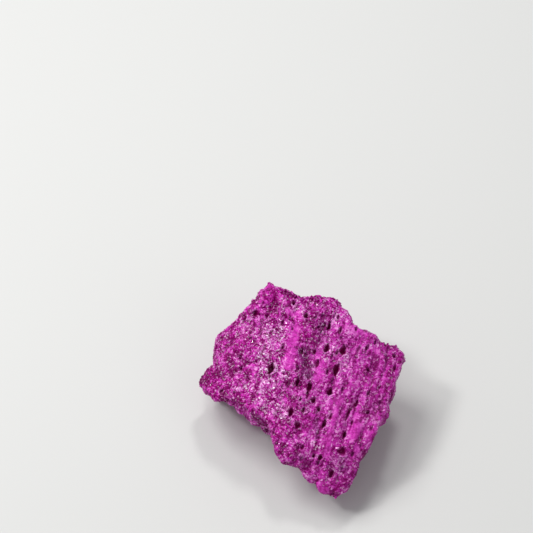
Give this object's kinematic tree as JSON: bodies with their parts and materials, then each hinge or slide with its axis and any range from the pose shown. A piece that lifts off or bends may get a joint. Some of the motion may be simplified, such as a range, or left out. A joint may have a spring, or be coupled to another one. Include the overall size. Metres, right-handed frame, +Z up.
{
  "type": "raw corundum",
  "caption": "Rough lump of pink corundum with a sloping face full of gas holes, rugged broken sides and a flat underside, lying free on a surface.",
  "frame": {"origin": "under the middle of the stone's box, on the surface that it rests on", "axes": "+Z up, the stone's shortest way; +X to the right and +Y away, seen with the stone's low nose towards the viewer"},
  "size_m": [0.044, 0.044, 0.0219],
  "materials": {
    "corundum": "sugary broken crystal mass, satin with small bright glints, dark inside its gas holes"
  },
  "bodies": {
    "root": {"corundum_stone": "corundum"}
  },
  "joints": []
}
